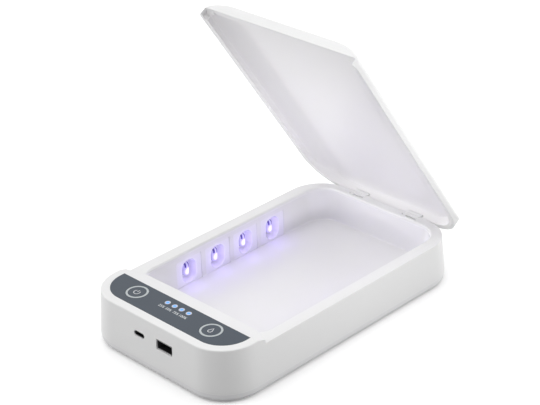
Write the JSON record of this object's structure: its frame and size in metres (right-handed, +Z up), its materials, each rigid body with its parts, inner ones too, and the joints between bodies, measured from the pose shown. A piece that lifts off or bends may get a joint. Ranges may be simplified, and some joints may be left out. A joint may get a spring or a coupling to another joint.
{
  "type": "uv sanitizer box for phones",
  "caption": "White plastic UV sanitizer box for a phone, with a hinged crowned lid, a dark control panel and two USB ports.",
  "frame": {"origin": "centre of the footprint, on the surface the feet stand on", "axes": "+Z up, +Y towards the hinge (the control panel and USB ports face -Y), +X across the box to the right of someone facing the panel"},
  "size_m": [0.1342, 0.2276, 0.1923],
  "materials": {
    "white_plastic": "satin",
    "gloss_white": "gloss",
    "slate_plastic": "satin",
    "ring_grey": "satin",
    "grey_rubber": "matte",
    "board_green": "satin",
    "black_plastic": "matte",
    "steel": "brushed",
    "bright_steel": "polished",
    "magnet_nickel": "polished",
    "blue_light": "lit",
    "uv_light": "lit",
    "clear_glass": "clear",
    "battery_wrap": "satin"
  },
  "bodies": {
    "base": {"main_housing": "white_plastic", "inner_tub": "gloss_white", "bottom_cover": "white_plastic", "foot_front_left": "grey_rubber", "foot_front_right": "grey_rubber", "foot_back_left": "grey_rubber", "foot_back_right": "grey_rubber", "case_screws": "steel", "board_screws": "steel", "main_board": "board_green", "battery_pack": "battery_wrap", "usb_a_socket": "bright_steel", "usb_a_tongue": "black_plastic", "usb_c_socket": "bright_steel", "usb_c_tongue": "black_plastic", "control_panel": "slate_plastic", "status_bezels": "gloss_white", "status_leds": "white_plastic", "status_lens_1": "blue_light", "status_lens_2": "blue_light", "status_lens_3": "blue_light", "status_lens_4": "blue_light", "switch_board": "board_green", "reed_switch": "clear_glass", "tact_switch_left": "black_plastic", "uv_board_left": "board_green", "uv_leds_left": "uv_light", "uv_reflector_left_1": "gloss_white", "uv_reflector_left_2": "gloss_white", "uv_reflector_left_3": "gloss_white", "uv_reflector_left_4": "gloss_white", "hinge_pin_left": "steel", "tact_switch_right": "black_plastic", "uv_board_right": "board_green", "uv_leds_right": "uv_light", "uv_reflector_right_1": "gloss_white", "uv_reflector_right_2": "gloss_white", "uv_reflector_right_3": "gloss_white", "uv_reflector_right_4": "gloss_white", "hinge_pin_right": "steel"},
    "lid": {"lid_shell": "white_plastic", "lid_liner": "gloss_white", "lid_magnet": "magnet_nickel"},
    "button_left_body": {"button_left": "slate_plastic", "button_ring_left": "ring_grey", "switch_plunger_left": "gloss_white"},
    "button_right_body": {"button_right": "slate_plastic", "button_ring_right": "ring_grey", "switch_plunger_right": "gloss_white"}
  },
  "joints": [
    {"name": "lid_hinge", "type": "hinge", "parent": "base", "child": "lid", "pos_m": [0, 0.1076, 0.0304], "axis": [-1, 0, 0], "range_deg": [-56.3, 2.5]},
    {"name": "button_left_press", "type": "slide", "parent": "base", "child": "button_left_body", "axis": [0, 0, -1], "range_m": [0, 0.0005], "stiffness_N_per_m": 2500, "springref_m": -0.0006},
    {"name": "button_right_press", "type": "slide", "parent": "base", "child": "button_right_body", "axis": [0, 0, -1], "range_m": [0, 0.0005], "stiffness_N_per_m": 2500, "springref_m": -0.0006}
  ]
}
